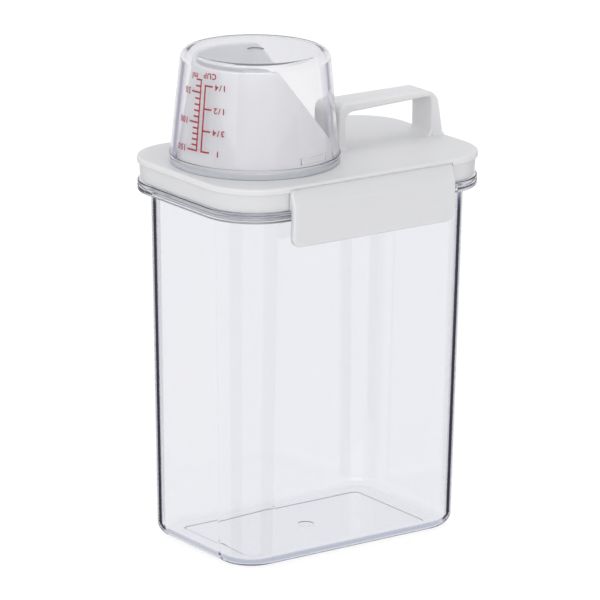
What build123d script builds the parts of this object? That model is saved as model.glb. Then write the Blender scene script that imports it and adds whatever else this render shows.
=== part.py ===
# Storage box for dry food: a clear tapered container, a white lid with a carrying handle and a
# pouring spout, two latch flaps on the lid's long sides, and a clear measuring cup that stands
# upside down over the spout as its cap.
# Millimetres. +Z is up, +X is the handle end, -X the pouring end, the long sides face -Y and +Y.
# The origin is the middle of the underside.
import os
from math import atan2, cos, degrees, radians, sin, tan

from build123d import *

# Container
base_length = 132.7
base_width = 83.1
base_corner_radius = 18.6
base_edge_radius = 6.5
wall_draft = 1.12
wall_thickness = 2.2
floor_thickness = 2.2
floor_inner_radius = 4.5
foot_end_breadth = 15.35
foot_side_breadth = 13.05
foot_panel_corner_radius = 3.0
foot_panel_depth = 0.6
foot_panel_slope = 40.0
gate_radius = 4.0
gate_depth = 0.5

# Rim of the container: two lips with a groove between them, and a shelf inside for the packing
rim_level = 170.6
rim_height = 4.9
rim_end_overhang = 5.31
rim_side_overhang = 6.71
rim_corner_radius = 26.5
rim_wall = 2.2
rim_lip_radius = 0.6
rim_groove_rise = 2.3
rim_groove_height = 0.8
rim_groove_depth = 0.9
shelf_depth = 2.2

# Lid: top plate with a brim, a skirt, and a plug wall that enters the mouth
lid_rise = 11.5
brim_overhang = 0.25
brim_height = 3.0
brim_top_radius = 1.2
brim_under_radius = 0.7
plate_thickness = 2.4
skirt_inset = 1.35
skirt_draft = 3.5
skirt_thickness = 2.2
lid_clearance = 0.3
plug_clearance = 0.6
plug_reach = 3.0
plug_thickness = 1.6

# Packing between the plug wall and the shelf, and the collar that presses on it
packing_fit = 0.2
packing_width = 4.0
packing_height = 4.0
collar_overhang = 3.4
collar_thickness = 2.0

# Place of the cup from the pouring end, and the pouring spout
cup_end_margin = 4.1
spout_height = 48.5
spout_base_radius = 36.9
spout_taper = 7.5
spout_wall = 2.3
spout_cut_turn = -26.0
spout_cut_start = 6.2
spout_cut_angle = 54.0
spout_cut_round = 7.0
spout_lip_radius = 0.6

# Seal ring under the cup
ring_width = 2.5
ring_gap = 0.4
ring_height = 2.6
ring_edge_radius = 0.5

# Measuring cup, upside down
cup_height = 50.8
cup_rim_overhang = 0.6
cup_rim_height = 2.2
cup_rim_edge_radius = 0.5
cup_flange_width = 0.6
cup_taper_width = 4.8
cup_wall = 2.5
cup_base_thickness = 2.0
cup_base_edge_radius = 4.2
cup_inner_edge_radius = 2.6
cup_gate_radius = 4.0
cup_gate_depth = 0.5
cup_turn = 12.0
lug_length = 16.0
lug_height = 3.2
lug_rise = 2.6
lug_depth = 0.45

# Handle
handle_cup_gap = 1.95
handle_end_margin = 0.65
handle_height = 22.5
handle_width = 16.4
handle_left_lean = 1.0
handle_right_lean = 4.4
handle_left_leg = 4.7
handle_right_leg = 7.6
handle_bar_left = 4.6
handle_bar_right = 2.8
handle_left_radius = 5.0
handle_right_radius = 8.0
handle_inner_radius = 4.5
handle_right_inner_radius = 2.0
handle_foot_radius = 4.0
handle_edge_radius = 1.1
handle_foot_spread = 1.2
handle_foot_rise = 2.4

# Latch flaps
flap_end_setback = 28.3
flap_drop = 29.0
flap_side_gap = 0.12
flap_lip_height = 1.5
flap_hinge_gap = 0.12
flap_top_width = 1.4
flap_seat_gap = 0.3
flap_shoulder_drop = 9.5
flap_waist_drop = 19.0
flap_bulge = 2.9
flap_tuck = 0.6
flap_thickness = 2.6
flap_corner_radius = 5.0
flap_edge_radius = 1.2
flap_end_wall = 2.0
hook_end_setback = 11.4
hook_reach = 2.9
hook_height = 3.6
hook_tip_share = 0.34
hook_clearance = 0.3

# One overrun for all cuts
overrun = 2.0

# Places that follow from the sizes
draft_slope = tan(radians(wall_draft))
foot_panel_length = base_length - 2 * foot_end_breadth
foot_panel_width = base_width - 2 * foot_side_breadth
rim_length = base_length + 2 * rim_level * draft_slope + 2 * rim_end_overhang
rim_width = base_width + 2 * rim_level * draft_slope + 2 * rim_side_overhang
rim_top = rim_level + rim_height
shelf_level = rim_top - shelf_depth
lid_top = rim_top + lid_rise
plate_bottom = lid_top - plate_thickness
skirt_bottom = rim_top + lid_clearance
skirt_top = lid_top - brim_height
brim_length = rim_length + 2 * brim_overhang
brim_width = rim_width + 2 * brim_overhang
brim_corner_radius = rim_corner_radius + brim_overhang
skirt_length = rim_length - 2 * skirt_inset
skirt_width = rim_width - 2 * skirt_inset
skirt_corner_radius = rim_corner_radius - skirt_inset
plug_bottom = shelf_level - plug_reach
mouth_length = base_length - 2 * wall_thickness + 2 * plug_bottom * draft_slope
mouth_width = base_width - 2 * wall_thickness + 2 * plug_bottom * draft_slope
mouth_corner_radius = base_corner_radius - wall_thickness + plug_bottom * draft_slope
plug_length = mouth_length - 2 * plug_clearance
plug_width = mouth_width - 2 * plug_clearance
plug_corner_radius = mouth_corner_radius - plug_clearance
packing_inset = packing_fit + packing_width
collar_level = shelf_level + packing_height
spout_top_radius = spout_base_radius - spout_taper
ring_inner_radius = spout_base_radius + ring_gap
ring_outer_radius = ring_inner_radius + ring_width
cup_rim_radius = ring_outer_radius + cup_rim_overhang
cup_mouth_radius = cup_rim_radius - cup_flange_width
cup_base_radius = cup_mouth_radius - cup_taper_width
cup_axis_x = cup_rim_radius + cup_end_margin - brim_length / 2
cup_level = lid_top + ring_height
cup_top = cup_level + cup_height
spout_top = lid_top + spout_height
handle_start_x = cup_axis_x + cup_rim_radius + handle_cup_gap
handle_end_x = brim_length / 2 - handle_end_margin
flap_width = rim_length - 2 * flap_end_setback
hook_width = flap_width - 2 * hook_end_setback
hinge_y = brim_width / 2
seat_top = lid_top - flap_lip_height
hinge_z = seat_top - flap_hinge_gap
flap_root_y = hinge_y - flap_top_width
seat_y = flap_root_y - flap_seat_gap
flap_outer_y = brim_width / 2 + flap_bulge
flap_inner_y = flap_outer_y - flap_thickness
flap_shoulder_z = lid_top - flap_shoulder_drop
flap_waist_z = lid_top - flap_waist_drop
flap_bottom_z = lid_top - flap_drop
hook_top_z = rim_level - hook_clearance
hook_tip_y = flap_inner_y - hook_reach

# Inside of the container, as a solid core
with BuildPart() as mouth_core:
    with BuildSketch(Plane.XY.offset(floor_thickness)):
        RectangleRounded(
            base_length - 2 * wall_thickness + 2 * floor_thickness * draft_slope,
            base_width - 2 * wall_thickness + 2 * floor_thickness * draft_slope,
            base_corner_radius - wall_thickness + floor_thickness * draft_slope,
        )
    extrude(amount=rim_top + overrun - floor_thickness, taper=-wall_draft)
    fillet(mouth_core.edges().group_by(Axis.Z)[0], radius=floor_inner_radius)

# Rim band with its two lips
with BuildPart() as rim_band:
    with BuildSketch(Plane.XY.offset(rim_level)):
        RectangleRounded(rim_length, rim_width, rim_corner_radius)
    extrude(amount=rim_height)
    fillet(rim_band.edges().group_by(Axis.Z)[0], radius=rim_lip_radius)
    fillet(rim_band.edges().group_by(Axis.Z)[-1], radius=rim_lip_radius)
    with BuildSketch(Plane.XY.offset(rim_level + rim_groove_rise)):
        RectangleRounded(rim_length + overrun, rim_width + overrun, rim_corner_radius + overrun / 2)
        RectangleRounded(
            rim_length - 2 * rim_groove_depth,
            rim_width - 2 * rim_groove_depth,
            rim_corner_radius - rim_groove_depth,
            mode=Mode.SUBTRACT,
        )
    extrude(amount=rim_groove_height, mode=Mode.SUBTRACT)
    with BuildSketch(Plane.XY.offset(shelf_level)):
        RectangleRounded(rim_length - 2 * rim_wall, rim_width - 2 * rim_wall, rim_corner_radius - rim_wall)
    extrude(amount=shelf_depth + overrun, mode=Mode.SUBTRACT)

with BuildPart() as container:
    with BuildSketch(Plane.XY):
        RectangleRounded(base_length, base_width, base_corner_radius)
    extrude(amount=shelf_level, taper=-wall_draft)
    fillet(container.edges().group_by(Axis.Z)[0], radius=base_edge_radius)
    add(rim_band.part)
    add(mouth_core.part, mode=Mode.SUBTRACT)
    # Recess of the underside, which leaves a broad foot ring, and the gate mark in its middle
    with BuildSketch(Plane.XY):
        RectangleRounded(foot_panel_length, foot_panel_width, foot_panel_corner_radius)
    extrude(amount=foot_panel_depth, taper=foot_panel_slope, mode=Mode.SUBTRACT)
    with BuildSketch(Plane.XY):
        Circle(gate_radius)
    extrude(amount=foot_panel_depth + gate_depth, mode=Mode.SUBTRACT)

# Spout: a tapered tube, cut slantwise
spout_plane = Plane(origin=(cup_axis_x, 0, 0), x_dir=(1, 0, 0), z_dir=(0, -1, 0))
spout_axis = Axis((cup_axis_x, 0, 0), (0, 0, 1))
cut_direction = (cos(radians(spout_cut_turn)), sin(radians(spout_cut_turn)), 0)
cut_normal = (sin(radians(spout_cut_turn)), -cos(radians(spout_cut_turn)), 0)
cut_plane = Plane(origin=(cup_axis_x, 0, 0), x_dir=cut_direction, z_dir=cut_normal)
cut_reach = cup_rim_radius + overrun
cut_fall = (cut_reach - spout_cut_start) * tan(radians(spout_cut_angle))

with BuildPart() as spout_bore:
    with BuildSketch(spout_plane):
        with BuildLine():
            Polyline(
                (0, plate_bottom - overrun),
                (spout_base_radius - spout_wall, plate_bottom - overrun),
                (spout_base_radius - spout_wall, lid_top),
                (spout_top_radius - spout_wall, spout_top),
                (spout_top_radius - spout_wall, spout_top + overrun),
                (0, spout_top + overrun),
                (0, plate_bottom - overrun),
            )
        make_face()
    revolve(axis=spout_axis)

with BuildPart() as spout_cut:
    with BuildSketch(cut_plane) as cut_profile:
        with BuildLine():
            Polyline(
                (spout_cut_start - cut_reach, spout_top),
                (spout_cut_start, spout_top),
                (cut_reach, spout_top - cut_fall),
                (cut_reach, spout_top + overrun),
                (spout_cut_start - cut_reach, spout_top + overrun),
                (spout_cut_start - cut_reach, spout_top),
            )
        make_face()
        fillet(cut_profile.vertices().sort_by_distance((spout_cut_start, spout_top, 0))[0], spout_cut_round)
    extrude(amount=cut_reach, both=True)

with BuildPart() as spout_tube:
    with BuildSketch(spout_plane):
        with BuildLine():
            Polyline(
                (0, plate_bottom),
                (spout_base_radius, plate_bottom),
                (spout_base_radius, lid_top),
                (spout_top_radius, spout_top),
                (0, spout_top),
                (0, plate_bottom),
            )
        make_face()
    revolve(axis=spout_axis)
    add(spout_bore.part, mode=Mode.SUBTRACT)
    add(spout_cut.part, mode=Mode.SUBTRACT)
    # Round both edges of the lip, on the flat top and down the slant
    lip_edges = spout_tube.edges().filter_by(GeomType.LINE, reverse=True)
    lip_edges = lip_edges.filter_by_position(Axis.Z, lid_top + spout_wall, spout_top)
    fillet(lip_edges, radius=spout_lip_radius)

# Handle: a strap whose legs lean in, with rounded inner corners and spread feet
bar_top = lid_top + handle_height
with BuildPart() as handle:
    with BuildSketch(Plane.XZ) as handle_profile:
        with BuildLine():
            Polyline(
                (handle_start_x, plate_bottom),
                (handle_start_x + handle_left_lean, bar_top),
                (handle_end_x - handle_right_lean, bar_top),
                (handle_end_x, plate_bottom),
                (handle_start_x, plate_bottom),
            )
        make_face()
        fillet(
            handle_profile.vertices().sort_by_distance((handle_start_x, bar_top, 0))[0],
            radius=handle_left_radius,
        )
        fillet(
            handle_profile.vertices().sort_by_distance((handle_end_x, bar_top, 0))[0],
            radius=handle_right_radius,
        )
    extrude(amount=handle_width / 2, both=True)
    with BuildSketch(Plane.XZ) as finger_gap:
        with BuildLine():
            Polyline(
                (handle_start_x + handle_left_leg, lid_top),
                (handle_start_x + handle_left_leg, bar_top - handle_bar_left),
                (handle_end_x - handle_right_leg, bar_top - handle_bar_right),
                (handle_end_x - handle_right_leg, lid_top),
                (handle_start_x + handle_left_leg, lid_top),
            )
        make_face()
        fillet(
            finger_gap.vertices().sort_by_distance((handle_start_x, bar_top, 0))[0],
            radius=handle_inner_radius,
        )
        fillet(
            finger_gap.vertices().sort_by_distance((handle_end_x, bar_top, 0))[0],
            radius=handle_right_inner_radius,
        )
        fillet(finger_gap.vertices().group_by(Axis.Y)[0], radius=handle_foot_radius)
    extrude(amount=handle_width / 2 + overrun, both=True, mode=Mode.SUBTRACT)
    fillet(handle.faces().sort_by(Axis.Y)[0].edges(), radius=handle_edge_radius)
    fillet(handle.faces().sort_by(Axis.Y)[-1].edges(), radius=handle_edge_radius)
    # Sloped pads that spread the feet to the front and the rear
    right_foot_end = brim_length / 2 - brim_top_radius
    foot_spans = (
        (handle_start_x, handle_start_x + handle_left_leg),
        (handle_end_x - handle_right_leg, right_foot_end),
    )
    for foot_start, foot_end in foot_spans:
        with BuildSketch(Plane.XY.offset(lid_top)):
            with Locations(((foot_start + foot_end) / 2, 0)):
                Rectangle(foot_end - foot_start, handle_width + 2 * handle_foot_spread)
        extrude(amount=handle_foot_rise, taper=degrees(atan2(handle_foot_spread, handle_foot_rise)))

with BuildPart() as lid:
    # Brim and top plate
    with BuildSketch(Plane.XY.offset(skirt_top)):
        RectangleRounded(brim_length, brim_width, brim_corner_radius)
    extrude(amount=brim_height)
    fillet(lid.edges().group_by(Axis.Z)[-1], radius=brim_top_radius)
    fillet(lid.edges().group_by(Axis.Z)[0], radius=brim_under_radius)
    # Skirt, a little wider upwards, hollow inside
    with BuildSketch(Plane.XY.offset(skirt_bottom)):
        RectangleRounded(skirt_length, skirt_width, skirt_corner_radius)
    extrude(amount=plate_bottom - skirt_bottom, taper=-skirt_draft)
    with BuildSketch(Plane.XY.offset(skirt_bottom - overrun)):
        RectangleRounded(
            skirt_length - 2 * skirt_thickness,
            skirt_width - 2 * skirt_thickness,
            skirt_corner_radius - skirt_thickness,
        )
    extrude(amount=plate_bottom - skirt_bottom + overrun, mode=Mode.SUBTRACT)
    # Plug wall and its collar
    with BuildSketch(Plane.XY.offset(collar_level)):
        RectangleRounded(
            plug_length + 2 * collar_overhang,
            plug_width + 2 * collar_overhang,
            plug_corner_radius + collar_overhang,
        )
    extrude(amount=collar_thickness)
    with BuildSketch(Plane.XY.offset(plug_bottom)):
        RectangleRounded(plug_length, plug_width, plug_corner_radius)
    extrude(amount=plate_bottom - plug_bottom)
    with BuildSketch(Plane.XY.offset(plug_bottom - overrun)):
        RectangleRounded(
            plug_length - 2 * plug_thickness,
            plug_width - 2 * plug_thickness,
            plug_corner_radius - plug_thickness,
        )
    extrude(amount=plate_bottom - plug_bottom + overrun, mode=Mode.SUBTRACT)
    # Handle and spout on the plate
    add(spout_bore.part, mode=Mode.SUBTRACT)
    add(spout_tube.part)
    add(handle.part)
    # Seats of the two flaps: the brim is cut away below a thin lip that hangs over each hinge
    for side in (-1, 1):
        with BuildSketch(Plane.YZ):
            with BuildLine():
                Polyline(
                    (side * seat_y, seat_top),
                    (side * (flap_outer_y + overrun), seat_top),
                    (side * (flap_outer_y + overrun), skirt_bottom - overrun),
                    (side * seat_y, skirt_bottom - overrun),
                    (side * seat_y, seat_top),
                )
            make_face()
        extrude(amount=flap_width / 2 + flap_side_gap, both=True, mode=Mode.SUBTRACT)

with BuildPart() as lid_packing:
    with BuildSketch(Plane.XY.offset(shelf_level)):
        RectangleRounded(
            plug_length + 2 * packing_inset,
            plug_width + 2 * packing_inset,
            plug_corner_radius + packing_inset,
        )
        RectangleRounded(
            plug_length + 2 * packing_fit,
            plug_width + 2 * packing_fit,
            plug_corner_radius + packing_fit,
            mode=Mode.SUBTRACT,
        )
    extrude(amount=packing_height)

# Flap: it turns about its outer top edge, close under the lid's lip. A shoulder spreads over the
# rim, then come a straight waist and a tucked lower edge, with a hook under the rim.
with BuildPart() as latch_front:
    with BuildSketch(Plane.YZ):
        with BuildLine():
            Polyline(
                (-hinge_y, hinge_z),
                (-flap_outer_y, flap_shoulder_z),
                (-flap_outer_y, flap_waist_z),
                (-flap_outer_y + flap_tuck, flap_bottom_z),
                (-flap_inner_y + flap_tuck, flap_bottom_z),
                (-flap_inner_y, flap_waist_z),
                (-flap_inner_y, flap_shoulder_z),
                (-flap_root_y, hinge_z),
                (-hinge_y, hinge_z),
            )
        make_face()
    extrude(amount=flap_width / 2, both=True)
    fillet(latch_front.edges().filter_by(Axis.Y).group_by(Axis.Z)[0], radius=flap_corner_radius)
    # Round the outer edge down both ends and along the bottom
    end_edges = latch_front.edges().filter_by(Axis.X, reverse=True).filter_by(Axis.Y, reverse=True)
    bottom_edges = latch_front.edges().filter_by(Axis.X).group_by(Axis.Z)[0]
    outer_edges = end_edges + bottom_edges
    outer_edges = outer_edges.filter_by_position(Axis.Y, -flap_outer_y, -flap_inner_y - flap_thickness / 4)
    fillet(outer_edges, radius=flap_edge_radius)
    # Walls that close both ends above the rim
    for end in (-1, 1):
        with BuildSketch(Plane.YZ.offset(end * (flap_width - flap_end_wall) / 2)):
            with BuildLine():
                Polyline(
                    (-flap_root_y, hinge_z),
                    (-flap_root_y, skirt_bottom),
                    (-flap_inner_y - flap_thickness / 2, skirt_bottom),
                    (-flap_inner_y - flap_thickness / 2, flap_shoulder_z),
                    (-flap_root_y - flap_top_width / 2, hinge_z),
                    (-flap_root_y, hinge_z),
                )
            make_face()
        extrude(amount=flap_end_wall / 2, both=True)
    with BuildSketch(Plane.YZ):
        with BuildLine():
            Polyline(
                (-flap_inner_y, hook_top_z),
                (-hook_tip_y, hook_top_z),
                (-hook_tip_y, hook_top_z - hook_height * hook_tip_share),
                (-flap_inner_y, hook_top_z - hook_height),
                (-flap_inner_y - flap_thickness / 2, hook_top_z - hook_height),
                (-flap_inner_y - flap_thickness / 2, hook_top_z),
                (-flap_inner_y, hook_top_z),
            )
        make_face()
    extrude(amount=hook_width / 2, both=True)

with BuildPart() as latch_rear:
    mirror(latch_front.part, about=Plane.XZ)

with BuildPart() as cup_ring:
    with BuildSketch(spout_plane):
        with BuildLine():
            Polyline(
                (ring_inner_radius, lid_top),
                (ring_outer_radius, lid_top),
                (ring_outer_radius, cup_level),
                (ring_inner_radius, cup_level),
                (ring_inner_radius, lid_top),
            )
        make_face()
    revolve(axis=spout_axis)
    fillet(cup_ring.edges().filter_by(GeomType.CIRCLE).group_by(SortBy.LENGTH)[-1], radius=ring_edge_radius)

# Cup: a tapered beaker, mouth down, with a flange round the mouth and two lugs inside it
cup_slope = (cup_mouth_radius - cup_base_radius) / (cup_height - cup_rim_height)
cup_plane = Plane(
    origin=(cup_axis_x, 0, 0),
    x_dir=(cos(radians(cup_turn)), sin(radians(cup_turn)), 0),
    z_dir=(sin(radians(cup_turn)), -cos(radians(cup_turn)), 0),
)
lug_face_radius = cup_mouth_radius - cup_wall + cup_slope * (cup_rim_height - lug_rise - lug_height)
lug_arc = degrees(lug_length / lug_face_radius)
with BuildPart() as measuring_cup:
    with BuildSketch(cup_plane):
        with BuildLine():
            Polyline(
                (0, cup_top),
                (cup_base_radius, cup_top),
                (cup_mouth_radius, cup_level + cup_rim_height),
                (cup_rim_radius, cup_level + cup_rim_height),
                (cup_rim_radius, cup_level),
                (0, cup_level),
                (0, cup_top),
            )
        make_face()
    revolve(axis=spout_axis)
    rim_edges = measuring_cup.edges().filter_by(GeomType.CIRCLE).group_by(SortBy.LENGTH)[-1]
    fillet(rim_edges, radius=cup_rim_edge_radius)
    fillet(measuring_cup.edges().filter_by(GeomType.CIRCLE).group_by(Axis.Z)[-1], radius=cup_base_edge_radius)
    with BuildSketch(Plane(origin=(cup_axis_x, 0, cup_top))):
        Circle(cup_gate_radius)
    extrude(amount=-cup_gate_depth, mode=Mode.SUBTRACT)
    with BuildSketch(cup_plane) as cup_hollow:
        with BuildLine():
            Polyline(
                (0, cup_top - cup_base_thickness),
                (cup_base_radius - cup_wall + cup_base_thickness * cup_slope, cup_top - cup_base_thickness),
                (cup_mouth_radius - cup_wall + cup_rim_height * cup_slope, cup_level),
                (cup_mouth_radius - cup_wall + cup_rim_height * cup_slope, cup_level - overrun),
                (0, cup_level - overrun),
                (0, cup_top - cup_base_thickness),
            )
        make_face()
        fillet(
            cup_hollow.vertices().group_by(Axis.Y)[-1].sort_by(Axis.X)[-1],
            radius=cup_inner_edge_radius,
        )
    revolve(axis=spout_axis, mode=Mode.SUBTRACT)
    for lug_angle in (-90, 90):
        lug_start = radians(cup_turn + lug_angle - lug_arc / 2)
        lug_plane = Plane(
            origin=(cup_axis_x, 0, 0),
            x_dir=(cos(lug_start), sin(lug_start), 0),
            z_dir=(sin(lug_start), -cos(lug_start), 0),
        )
        with BuildSketch(lug_plane):
            with BuildLine():
                Polyline(
                    (lug_face_radius - lug_depth, cup_level + lug_rise),
                    (lug_face_radius + cup_wall / 2, cup_level + lug_rise),
                    (lug_face_radius + cup_wall / 2, cup_level + lug_rise + lug_height),
                    (lug_face_radius - lug_depth, cup_level + lug_rise + lug_height),
                    (lug_face_radius - lug_depth, cup_level + lug_rise),
                )
            make_face()
        revolve(axis=spout_axis, revolution_arc=lug_arc)

parts = {
    "container": container,
    "lid": lid,
    "lid_packing": lid_packing,
    "latch_front": latch_front,
    "latch_rear": latch_rear,
    "cup_ring": cup_ring,
    "measuring_cup": measuring_cup,
}
os.makedirs("parts", exist_ok=True)
for name, piece in parts.items():
    piece.part.label = name
    export_step(piece.part, f"parts/{name}.step")
    print(name, round(piece.part.volume / 1000, 2), "cm3")
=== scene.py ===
import math

import bpy
from mathutils import Matrix, Vector


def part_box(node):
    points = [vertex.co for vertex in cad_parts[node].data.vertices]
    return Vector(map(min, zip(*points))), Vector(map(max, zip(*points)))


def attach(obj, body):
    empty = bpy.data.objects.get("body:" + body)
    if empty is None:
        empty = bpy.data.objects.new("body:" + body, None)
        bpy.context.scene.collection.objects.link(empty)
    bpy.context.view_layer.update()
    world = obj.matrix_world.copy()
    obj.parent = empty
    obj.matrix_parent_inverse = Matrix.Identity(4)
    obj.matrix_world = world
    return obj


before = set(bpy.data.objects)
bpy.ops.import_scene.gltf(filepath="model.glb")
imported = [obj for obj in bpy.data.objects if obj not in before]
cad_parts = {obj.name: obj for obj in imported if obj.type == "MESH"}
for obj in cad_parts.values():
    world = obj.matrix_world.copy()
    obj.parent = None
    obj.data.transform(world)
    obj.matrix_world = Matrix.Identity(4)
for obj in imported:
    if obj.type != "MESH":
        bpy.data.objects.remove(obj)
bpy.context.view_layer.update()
bpy.context.scene.view_settings.view_transform = "Standard"
print("frame loaded:", ", ".join(sorted(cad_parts)))


# Shader sums: a socket that takes + - * like a number
class Socket:
    def __init__(self, sheet, output):
        self.sheet = sheet
        self.output = output

    def __add__(self, other):
        return self.sheet.maths("ADD", self, other)

    def __radd__(self, other):
        return self.sheet.maths("ADD", other, self)

    def __sub__(self, other):
        return self.sheet.maths("SUBTRACT", self, other)

    def __rsub__(self, other):
        return self.sheet.maths("SUBTRACT", other, self)

    def __mul__(self, other):
        return self.sheet.maths("MULTIPLY", self, other)

    def __rmul__(self, other):
        return self.sheet.maths("MULTIPLY", other, self)


class NodeSheet:
    def __init__(self, tree):
        self.tree = tree
        tree.nodes.clear()

    # one way to add any node: its settings first, then the values or links of its sockets
    def node(self, kind, settings=None, sockets=None, output=0):
        made = self.tree.nodes.new(kind)
        for name, value in (settings or {}).items():
            setattr(made, name, value)
        for name, value in (sockets or {}).items():
            if isinstance(value, Socket):
                self.tree.links.new(value.output, made.inputs[name])
            else:
                made.inputs[name].default_value = value
        return Socket(self, made.outputs[output]) if len(made.outputs) else None

    def maths(self, operation, *values):
        return self.node("ShaderNodeMath", {"operation": operation}, dict(enumerate(values)))

    def place(self, stretch=(1, 1, 1)):
        point = self.node("ShaderNodeTexCoord", output="Object")
        return self.node("ShaderNodeMapping", {}, {"Vector": point, "Scale": stretch})

    def axes(self, vector):
        return [self.node("ShaderNodeSeparateXYZ", {}, {0: vector}, axis) for axis in "XYZ"]

    def noise(self, point, scale, detail=2.0, roughness=0.5):
        return self.node(
            "ShaderNodeTexNoise", {},
            {"Vector": point, "Scale": scale, "Detail": detail, "Roughness": roughness}, "Fac",
        )

    def blend(self, mask, first, second):
        return self.node("ShaderNodeMix", {"data_type": "RGBA"}, {0: mask, 6: first, 7: second}, 2)

    def smoothStep(self, value, start, end):
        return self.node(
            "ShaderNodeMapRange", {"interpolation_type": "SMOOTHSTEP"},
            {"Value": value, "From Min": start, "From Max": end, "To Min": 0.0, "To Max": 1.0},
        )

    # the height is in metres
    def relief(self, strength, height):
        return self.node(
            "ShaderNodeBump", {}, {"Strength": strength, "Distance": 1.0, "Height": height}
        )

    def lightPath(self, output):
        return self.node("ShaderNodeLightPath", output=output)

    # 1 for light that has bounced in this way more often than the count, else 0
    def bouncedOver(self, depthName, count):
        return self.maths("GREATER_THAN", self.lightPath(depthName), count + 0.5)

    def window(self, colour):
        return self.node("ShaderNodeBsdfTransparent", {}, {"Color": colour})

    def mixShader(self, factor, first, second):
        return self.node("ShaderNodeMixShader", {}, {0: factor, 1: first, 2: second})

    def show(self, surface):
        self.node("ShaderNodeOutputMaterial", {}, {"Surface": surface})


def newFinish(name):
    finish = bpy.data.materials.new(name)
    finish.use_nodes = True
    return finish, NodeSheet(finish.node_tree)


def dressNode(nodeName, finish):
    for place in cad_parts[nodeName].material_slots:
        place.material = finish


# Satin white polypropylene: cloudy tone, fine moulded grain, sink marks that bend the gloss a little
whiteLid = {
    "light": (0.775, 0.775, 0.785, 1),
    "dark": (0.735, 0.737, 0.752, 1),
    "cloudScale": 28.0,
    "cloudDetail": 3.0,
    "grainScale": 2600.0,
    "grainDetail": 1.0,
    "grainDepth": 0.00003,
    "grainMiddle": 0.5,
    "sinkScale": 45.0,
    "sinkDetail": 1.0,
    "sinkDepth": 0.0004,
    "reliefStrength": 0.35,
    "roughness": 0.40,
    "roughnessSpread": 0.14,
    "ior": 1.49,
    "glowWeight": 0.4,          # light that soaks into the plastic and comes out again
    "glowRadius": (1.0, 0.95, 0.9),
    "glowDepth": 0.005,
}


def makeWhiteLid(look):
    finish, sheet = newFinish("whiteLid")
    point = sheet.place()
    cloud = sheet.noise(point, look["cloudScale"], look["cloudDetail"])
    grain = sheet.noise(point, look["grainScale"], look["grainDetail"])
    sink = sheet.noise(point, look["sinkScale"], look["sinkDetail"])
    height = grain * look["grainDepth"] + sink * look["sinkDepth"]
    sheet.show(sheet.node("ShaderNodeBsdfPrincipled", {}, {
        "Base Color": sheet.blend(cloud, look["dark"], look["light"]),
        "Roughness": look["roughness"] + (grain - look["grainMiddle"]) * look["roughnessSpread"],
        "IOR": look["ior"],
        "Subsurface Weight": look["glowWeight"],
        "Subsurface Radius": look["glowRadius"],
        "Subsurface Scale": look["glowDepth"],
        "Normal": sheet.relief(look["reliefStrength"], height),
    }))
    return finish


# Clear moulded plastic: faint flow waves along the height, light rub marks, lamps shine through it
clearPlastic = {
    "flowDetail": 1.0,
    "rubDetail": 4.0,
    "rubGrain": 0.6,
    "rubFrom": 0.55,
    "rubTo": 0.8,
    "rub": 0.03,
    "reliefStrength": 0.3,
    "ior": 1.52,
    "mirrorings": 2,            # light caught in the wall past so many mirrorings comes out as painted edge shade
}

clearContainer = {
    **clearPlastic,
    "name": "clearContainer",
    "tint": (0.912, 0.914, 0.938, 1),
    "lampTint": (0.955, 0.955, 0.965, 1),
    # painted shade: the dark lines along the container's edges
    "paintedEdgeShade": (0.13, 0.13, 0.18, 1),
    "flowScale": (16.0, 16.0, 2.0),
    "flowDepth": 0.00007,
    "rubScale": 90.0,
    "roughness": 0.012,
}

clearCup = {
    **clearPlastic,
    "name": "clearCup",
    "tint": (0.963, 0.961, 0.974, 1),
    "lampTint": (0.99, 0.99, 0.995, 1),
    # painted shade: the paler grey lines along the cup's edges
    "paintedEdgeShade": (0.28, 0.27, 0.33, 1),
    "flowScale": (20.0, 20.0, 5.0),
    "flowDepth": 0.00008,
    "rubScale": 110.0,
    "roughness": 0.010,
}


def makeClear(look):
    finish, sheet = newFinish(look["name"])
    flow = sheet.noise(sheet.place(look["flowScale"]), 1.0, look["flowDetail"])
    rub = sheet.noise(sheet.place(), look["rubScale"], look["rubDetail"], look["rubGrain"])
    worn = sheet.smoothStep(rub, look["rubFrom"], look["rubTo"])
    skin = sheet.node("ShaderNodeBsdfPrincipled", {}, {
        "Base Color": look["tint"],
        "Roughness": look["roughness"] + worn * look["rub"],
        "IOR": look["ior"],
        "Transmission Weight": 1.0,
        "Normal": sheet.relief(look["reliefStrength"], flow * look["flowDepth"]),
    })
    # Light caught in the wall turns into a fixed dark colour: painted shade that draws the lines
    # along the clear edges
    trapped = sheet.bouncedOver("Glossy Depth", look["mirrorings"])
    shown = sheet.mixShader(trapped, skin, sheet.window(look["paintedEdgeShade"]))
    lampRay = sheet.lightPath("Is Shadow Ray")
    sheet.show(sheet.mixShader(lampRay, shown, sheet.window(look["lampTint"])))
    return finish


# Silicone: soft sheen, a little dust in the tone
silicone = {
    "dustScale": 320.0,
    "dustDetail": 5.0,
    "dustGrain": 0.65,
    "dustRoughness": 0.12,
    "filmScale": 1800.0,
    "filmDetail": 1.0,
    "filmDepth": 0.00004,
    "reliefStrength": 0.25,
    "ior": 1.41,
    "glowWeight": 0.2,
    "glowRadius": (1.0, 1.0, 1.0),
    "glowDepth": 0.0015,
}

# Seal ring: its grey is painted shade, the shaded white lid seen through clear silicone drawn as an
# opaque tone; the dust mottling in it is real
sealShadeGrey = {
    **silicone,
    "name": "sealShadeGrey",
    "light": (0.59, 0.605, 0.65, 1),
    "dark": (0.51, 0.525, 0.57, 1),
    "roughness": 0.38,
}

whitePacking = {
    **silicone,
    "name": "whitePacking",
    "light": (0.66, 0.67, 0.68, 1),
    "dark": (0.58, 0.59, 0.61, 1),
    "roughness": 0.42,
}


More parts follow.
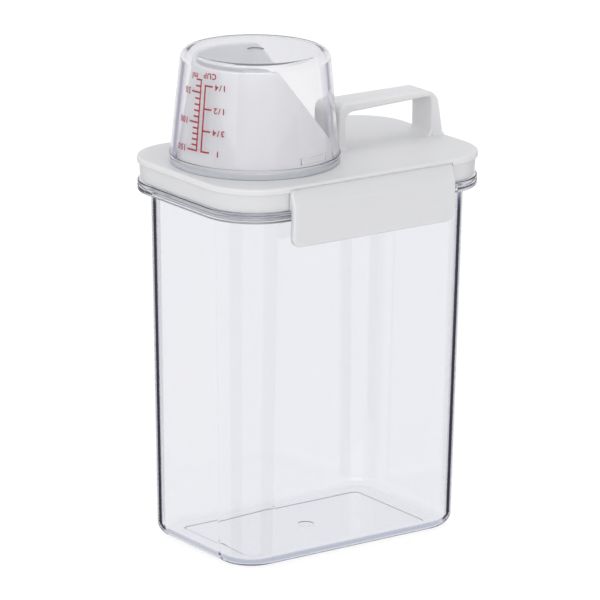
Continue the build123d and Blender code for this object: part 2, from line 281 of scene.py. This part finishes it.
def makeSilicone(look):
    finish, sheet = newFinish(look["name"])
    point = sheet.place()
    dust = sheet.noise(point, look["dustScale"], look["dustDetail"], look["dustGrain"])
    film = sheet.noise(point, look["filmScale"], look["filmDetail"])
    sheet.show(sheet.node("ShaderNodeBsdfPrincipled", {}, {
        "Base Color": sheet.blend(dust, look["dark"], look["light"]),
        "Roughness": look["roughness"] + dust * look["dustRoughness"],
        "IOR": look["ior"],
        "Subsurface Weight": look["glowWeight"],
        "Subsurface Radius": look["glowRadius"],
        "Subsurface Scale": look["glowDepth"],
        "Normal": sheet.relief(look["reliefStrength"], film * look["filmDepth"]),
    }))
    return finish


# Red screen print of the scale, a little uneven in density
redInk = {
    "full": (0.37, 0.012, 0.030, 1),
    "thin": (0.45, 0.030, 0.055, 1),
    "densityScale": 1500.0,
    "densityDetail": 3.0,
    "densityGrain": 0.6,
    "thinFrom": 0.45,
    "thinTo": 0.7,
    "roughness": 0.45,
    "roughnessSpread": 0.15,
}


def makeInk(look):
    finish, sheet = newFinish("redInk")
    density = sheet.noise(
        sheet.place(), look["densityScale"], look["densityDetail"], look["densityGrain"]
    )
    thinned = sheet.smoothStep(density, look["thinFrom"], look["thinTo"])
    sheet.show(sheet.node("ShaderNodeBsdfPrincipled", {}, {
        "Base Color": sheet.blend(thinned, look["full"], look["thin"]),
        "Roughness": look["roughness"] + density * look["roughnessSpread"],
    }))
    return finish


whiteFinish = makeWhiteLid(whiteLid)
for nodeName in ("lid", "latch_front", "latch_rear"):
    dressNode(nodeName, whiteFinish)
dressNode("container", makeClear(clearContainer))
dressNode("measuring_cup", makeClear(clearCup))
dressNode("cup_ring", makeSilicone(sealShadeGrey))
dressNode("lid_packing", makeSilicone(whitePacking))
inkFinish = makeInk(redInk)
print("finishes on the CAD pieces: white lid and flaps, clear container and cup, seal, packing")


# Printed scale on the cup, drawn flat as it stands here (cup mouth down), then laid round the cup
cupLow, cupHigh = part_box("measuring_cup")
cupScale = {
    "axis": (cupLow.x + cupHigh.x) / 2,
    "top": cupHigh.z,
    "baseThickness": 0.0020,
    "wall": 0.0025,
    "baseRadius": 0.0350,
    "mouthRadius": 0.0398,
    "taperHeight": 0.0486,
    "turn": -168.9,             # degrees round the cup axis, at the ml line
    "firstAmount": 30,          # amounts in ml
    "fullAmount": 150,
    "amountStep": 10,
    "longEvery": 50,
    "cubicMetres": 1e-6,        # in one ml
    "firstMark": 0.00903,       # 30 ml line below the cup's base
    "markSpread": 1.066,
    "lift": 0.00004,
    "inkThickness": 0.00003,
    "lineWidth": 0.00080,
    "barStep": 0.0008,          # a bar is cut across this often
    "mergeWithin": 0.000005,
    "cupLine": 0.0028,          # cup line beside the ml line
    "shortTick": 0.0034,
    "longTick": 0.0060,
    "cupTick": 0.0044,
    "figureHeight": 0.0030,
    "figureGap": 0.0012,
    "cupFigureHeight": 0.0027,
    "figureSpacing": 1.12,
    "cupFigureSpacing": 1.35,
    "capitalShare": 0.72,       # a capital's height as a share of the type size
    "curveSteps": 3,
    "boldness": 0.00010,
    "mlPlace": -0.0047,
    "mlRise": 0.0015,           # words above the 30 ml line
    "cupPlace": 0.0051,
    "cupRise": 0.0026,
}
# share of a full cup, its figure and how far the figure is moved sideways
cupMarks = ((0.25, "1/4", 0), (0.5, "1/2", 0), (0.75, "3/4", 0), (1.0, "1", 0.0022))
cupSlope = (cupScale["mouthRadius"] - cupScale["baseRadius"]) / cupScale["taperHeight"]


# how deep an amount fills the tapered inside of the cup
def fillDepth(millilitres):
    floorRadius = cupScale["baseRadius"] - cupScale["wall"] + cupScale["baseThickness"] * cupSlope
    volume = millilitres * cupScale["cubicMetres"]
    return ((floorRadius ** 3 + 3 * cupSlope * volume / math.pi) ** (1 / 3) - floorRadius) / cupSlope


def scaleHeight(millilitres):
    below = (fillDepth(millilitres) - fillDepth(cupScale["firstAmount"])) * cupScale["markSpread"]
    return cupScale["top"] - cupScale["firstMark"] - below


def deselectAll():
    bpy.ops.object.select_all(action="DESELECT")


def pickOnly(piece):
    deselectAll()
    piece.select_set(True)
    bpy.context.view_layer.objects.active = piece


def keepPlace(piece):
    pickOnly(piece)
    bpy.ops.object.transform_apply(location=True, rotation=True, scale=True)


# one inked bar in the XZ plane, cut across often enough to follow the round wall
def inkBar(left, right, low, high):
    deselectAll()
    bpy.ops.mesh.primitive_plane_add(
        size=1, location=((left + right) / 2, 0, (low + high) / 2), rotation=(math.pi / 2, 0, 0)
    )
    bar = bpy.context.object
    bar.scale = (right - left, high - low, 1)
    keepPlace(bar)
    steps = max(1, round((right - left) / cupScale["barStep"]))
    bpy.ops.object.mode_set(mode="EDIT")
    for step in range(1, steps):
        bpy.ops.mesh.select_all(action="SELECT")
        bpy.ops.mesh.bisect(
            plane_co=(left + (right - left) * step / steps, 0, 0), plane_no=(1, 0, 0)
        )
    bpy.ops.object.mode_set(mode="OBJECT")
    return bar


# figures stand upside down here, so that they read right when the cup is turned mouth up
def inkText(words, height, align, place, level, spacing):
    deselectAll()
    bpy.ops.object.text_add(location=(0, 0, 0))
    text = bpy.context.object
    text.data.body = words
    text.data.size = height / cupScale["capitalShare"]
    text.data.align_x = align
    text.data.align_y = "CENTER"
    text.data.resolution_u = cupScale["curveSteps"]
    text.data.space_character = spacing
    text.data.offset = cupScale["boldness"]
    bpy.ops.object.convert(target="MESH")
    text = bpy.context.object
    text.rotation_euler = (math.pi / 2, math.pi, 0)
    text.location = (place, 0, level)
    keepPlace(text)
    return text


def joinPieces(name, parts):
    deselectAll()
    for part in parts:
        part.select_set(True)
    bpy.context.view_layer.objects.active = parts[0]
    bpy.ops.object.join()
    joined = bpy.context.object
    joined.name = name
    joined.data.name = name
    keepPlace(joined)
    return joined


def layRoundCup(piece):
    middle = (cupScale["mouthRadius"] + cupScale["baseRadius"]) / 2
    for corner in piece.data.vertices:
        below = cupScale["top"] - corner.co.z
        radius = cupScale["baseRadius"] + below * cupSlope + cupScale["lift"]
        turn = math.radians(cupScale["turn"]) + corner.co.x / middle
        corner.co.y = radius * math.sin(turn)
        corner.co.x = cupScale["axis"] + radius * math.cos(turn)
    piece.data.update()
    pickOnly(piece)
    bpy.ops.object.mode_set(mode="EDIT")
    bpy.ops.mesh.select_all(action="SELECT")
    bpy.ops.mesh.remove_doubles(threshold=cupScale["mergeWithin"])
    bpy.ops.object.mode_set(mode="OBJECT")
    wall = piece.modifiers.new("inkThickness", "SOLIDIFY")
    wall.thickness = cupScale["inkThickness"]
    wall.offset = 1.0
    bpy.ops.object.modifier_apply(modifier="inkThickness")


def finishInk(piece):
    layRoundCup(piece)
    piece.data.materials.clear()
    piece.data.materials.append(inkFinish)
    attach(piece, "cup")


half = cupScale["lineWidth"] / 2
firstAmount, fullAmount = cupScale["firstAmount"], cupScale["fullAmount"]
firstLevel, fullLevel = scaleHeight(firstAmount), scaleHeight(fullAmount)
lineBars = [inkBar(-half, half, fullLevel - half, firstLevel + half)]
for millilitres in range(firstAmount, fullAmount + 1, cupScale["amountStep"]):
    level = scaleHeight(millilitres)
    reach = cupScale["shortTick"] if millilitres % cupScale["longEvery"] else cupScale["longTick"]
    lineBars.append(inkBar(-reach, -half, level - half, level + half))
cupLine = cupScale["cupLine"]
cupTickEnd = cupLine + cupScale["cupTick"]
cupLevels = [scaleHeight(fullAmount * share) for share, words, shift in cupMarks]
lineBars.append(inkBar(cupLine - half, cupLine + half, fullLevel - half, cupLevels[0] + half))
for level in cupLevels:
    lineBars.append(inkBar(cupLine + half, cupTickEnd, level - half, level + half))
finishInk(joinPieces("scaleLines", lineBars))
print("scale lines printed:", len(lineBars), "bars")

figures = []
for millilitres in range(cupScale["longEvery"], fullAmount + 1, cupScale["longEvery"]):
    figures.append(inkText(
        str(millilitres), cupScale["figureHeight"], "LEFT",
        -cupScale["longTick"] - cupScale["figureGap"], scaleHeight(millilitres),
        cupScale["figureSpacing"],
    ))
for level, (share, words, shift) in zip(cupLevels, cupMarks):
    figures.append(inkText(
        words, cupScale["cupFigureHeight"], "RIGHT",
        cupTickEnd + cupScale["figureGap"] + shift, level, cupScale["cupFigureSpacing"],
    ))
figures.append(inkText(
    "ml", cupScale["figureHeight"], "CENTER", cupScale["mlPlace"],
    firstLevel + cupScale["mlRise"], cupScale["figureSpacing"],
))
figures.append(inkText(
    "CUP", cupScale["cupFigureHeight"], "CENTER", cupScale["cupPlace"],
    firstLevel + cupScale["cupRise"], cupScale["figureSpacing"],
))
figureCount = len(figures)
finishInk(joinPieces("scaleFigures", figures))
print("scale figures printed:", figureCount)


# Camera where the photograph was taken from: long lens, from the front left, a little above
camera = {
    "azimuth": -35.73,
    "elevation": 15.925,
    "roll": 0.497,
    "distance": 2.3518,
    "pivot": (0.0, 0.0, 0.102),
    "aim": (-0.00075, 0.00439, 0.11295),
    "lens": 295.19,
    "sensor": 36.0,
    "farthest": 50.0,
}
viewTurn = math.radians(camera["azimuth"])


def placeCamera(look):
    rise = math.radians(look["elevation"])
    back = Vector((
        math.sin(viewTurn) * math.cos(rise), -math.cos(viewTurn) * math.cos(rise), math.sin(rise)
    ))
    spot = Vector(look["pivot"]) + back * look["distance"]
    back = (spot - Vector(look["aim"])).normalized()
    right = Vector((0, 0, 1)).cross(back).normalized()
    up = back.cross(right)
    roll = math.radians(look["roll"])
    sideways = right * math.cos(roll) + up * math.sin(roll)
    upright = up * math.cos(roll) - right * math.sin(roll)
    deselectAll()
    bpy.ops.object.camera_add()
    eye = bpy.context.object
    eye.matrix_world = Matrix((
        (sideways.x, upright.x, back.x, spot.x),
        (sideways.y, upright.y, back.y, spot.y),
        (sideways.z, upright.z, back.z, spot.z),
        (0, 0, 0, 1),
    ))
    eye.data.lens = look["lens"]
    eye.data.sensor_width = look["sensor"]
    eye.data.clip_end = look["farthest"]
    bpy.context.scene.camera = eye


# White floor that keeps a faint shadow
floorLook = {"size": 12.0, "drop": 0.0003, "matt": 0.26, "glow": 0.82, "bounce": 0.66}


def placeFloor(look):
    deselectAll()
    bpy.ops.mesh.primitive_plane_add(size=look["size"], location=(0, 0, -look["drop"]))
    floor = bpy.context.object
    floor.name = "floor"
    finish, sheet = newFinish("whiteFloor")
    matt = sheet.node("ShaderNodeBsdfDiffuse", {}, {"Color": (look["matt"],) * 3 + (1,)})
    seen = sheet.lightPath("Is Camera Ray")
    glow = sheet.node("ShaderNodeEmission", {}, {
        "Strength": look["bounce"] + seen * (look["glow"] - look["bounce"])
    })
    sheet.show(sheet.node("ShaderNodeAddShader", {}, {0: matt, 1: glow}))
    floor.data.materials.append(finish)
    floor.visible_transmission = False  # clear walls and gloss show the studio, not the floor
    floor.visible_glossy = False


# Ring of dark cards, which only mirrored light meets. It draws the dark lines down the edges of the
# clear walls. Cards beyond the object show in outer gloss too, and those on the camera's side only
# to light from inside the walls. The cup stands higher and sees the paler top of the ring.
cardRing = {
    "radius": 1.0,
    "facets": 96,
    "low": -0.70,
    "high": 0.15,
    "paleFrom": -0.100,
    "paleTo": -0.088,
    "cards": 4,
    "darkEdge": -0.6,
    "paleEdge": -0.2,
    "dark": (0.048, 0.047, 0.072, 1),
    "pale": (0.46, 0.45, 0.54, 1),
}
white = (1, 1, 1, 1)


# how far a point lies to the right, and how far beyond, as the camera looks
def acrossView(eastward, northward):
    return eastward * math.cos(viewTurn) + northward * math.sin(viewTurn)


def beyondView(eastward, northward):
    return northward * math.cos(viewTurn) - eastward * math.sin(viewTurn)


def placeCards(look):
    deselectAll()
    bpy.ops.mesh.primitive_cylinder_add(
        vertices=look["facets"], radius=look["radius"], depth=look["high"] - look["low"],
        end_fill_type="NOTHING", location=(0, 0, (look["high"] + look["low"]) / 2),
    )
    ring = bpy.context.object
    ring.name = "cardRing"
    keepPlace(ring)
    finish, sheet = newFinish("cardRing")
    eastward, northward, upward = sheet.axes(sheet.place())
    swing = sheet.maths(
        "ARCTAN2", acrossView(eastward, northward), beyondView(eastward, northward)
    )
    spread = sheet.maths("COSINE", swing * look["cards"])
    card = 1 - sheet.smoothStep(spread, look["darkEdge"], look["paleEdge"])
    thrown = sheet.bouncedOver("Glossy Depth", 0)
    inside = sheet.bouncedOver("Transmission Depth", 0)
    beyond = sheet.maths("GREATER_THAN", sheet.maths("COSINE", swing), 0.0)
    met = sheet.maths("MAXIMUM", inside, beyond)
    height = sheet.smoothStep(upward, look["paleFrom"], look["paleTo"])
    shade = sheet.blend(height, look["dark"], look["pale"])
    sheet.show(sheet.mixShader(
        card * thrown * met,
        sheet.window(white),
        sheet.node("ShaderNodeEmission", {}, {"Color": shade}),
    ))
    ring.data.materials.append(finish)
    ring.visible_camera = False
    ring.visible_diffuse = False
    ring.visible_shadow = False


# Studio: white for the eye. Gloss and clear plastic see a bright band round the object, between a
# dimmer ceiling and a dimmer table.
studio = {
    "horizon": 0.60,
    "zenith": 0.86,
    "leftward": 0.11,
    "ceilingColour": (0.72, 0.73, 0.76, 1),
    "ceilingFrom": -0.02,       # heights are those of a unit direction
    "ceilingTo": 0.14,
    "ceilingThrough": 0.25,     # the ceiling is this much less dim through clear plastic
    "tableColour": (0.57, 0.60, 0.69, 1),
    "tableFrom": -0.40,
    "tableTo": -0.75,
}


def lightStudio(look):
    world = bpy.data.worlds.new("studio")
    bpy.context.scene.world = world
    world.use_nodes = True
    sheet = NodeSheet(world.node_tree)
    direction = sheet.node("ShaderNodeTexCoord", output="Generated")
    eastward, northward, upward = sheet.axes(direction)
    ambient = look["horizon"] + upward * (look["zenith"] - look["horizon"])
    ambient = ambient - acrossView(eastward, northward) * look["leftward"]
    seenDirect = sheet.lightPath("Is Camera Ray")
    seenShiny = sheet.lightPath("Is Glossy Ray")
    seenThrough = sheet.lightPath("Is Transmission Ray")
    ceiling = sheet.smoothStep(upward, look["ceilingFrom"], look["ceilingTo"])
    ceiling = ceiling * (1 - seenThrough * look["ceilingThrough"])
    table = 1 - sheet.smoothStep(upward, look["tableTo"], look["tableFrom"])
    backdrop = sheet.blend(ceiling, white, look["ceilingColour"])
    backdrop = sheet.blend(table, backdrop, look["tableColour"])
    backdrop = sheet.blend(seenDirect, backdrop, white)
    seen = sheet.maths("MAXIMUM", sheet.maths("MAXIMUM", seenShiny, seenThrough), seenDirect)
    light = sheet.node("ShaderNodeBackground", {}, {"Color": white, "Strength": ambient})
    view = sheet.node("ShaderNodeBackground", {}, {"Color": backdrop})
    sky = sheet.mixShader(seen, light, view)
    sheet.node("ShaderNodeOutputWorld", {}, {"Surface": sky})


# Soft boxes
softBoxes = {
    "keyBox": {"spot": (-0.94, -1.50, 1.1), "aim": (0, 0, 0.15), "size": 1.4, "power": 9.0},
    "leftBox": {"spot": (-1.7, -0.45, 0.55), "aim": (0, 0, 0.18), "size": 0.9, "power": 1.2},
    "topBox": {"spot": (0.2, 0.3, 1.8), "aim": (0, 0, 0.2), "size": 1.2, "power": 3.0},
}


def placeSoftBox(name, box):
    deselectAll()
    bpy.ops.object.light_add(type="AREA", location=box["spot"])
    lamp = bpy.context.object
    lamp.name = name
    lamp.data.size = box["size"]
    lamp.data.energy = box["power"]
    towards = Vector(box["aim"]) - Vector(box["spot"])
    lamp.rotation_euler = towards.to_track_quat("-Z", "Y").to_euler()


placeCamera(camera)
placeFloor(floorLook)
placeCards(cardRing)
lightStudio(studio)
for boxName, box in softBoxes.items():
    placeSoftBox(boxName, box)
print("camera, floor, card ring, studio and", len(softBoxes), "soft boxes placed")
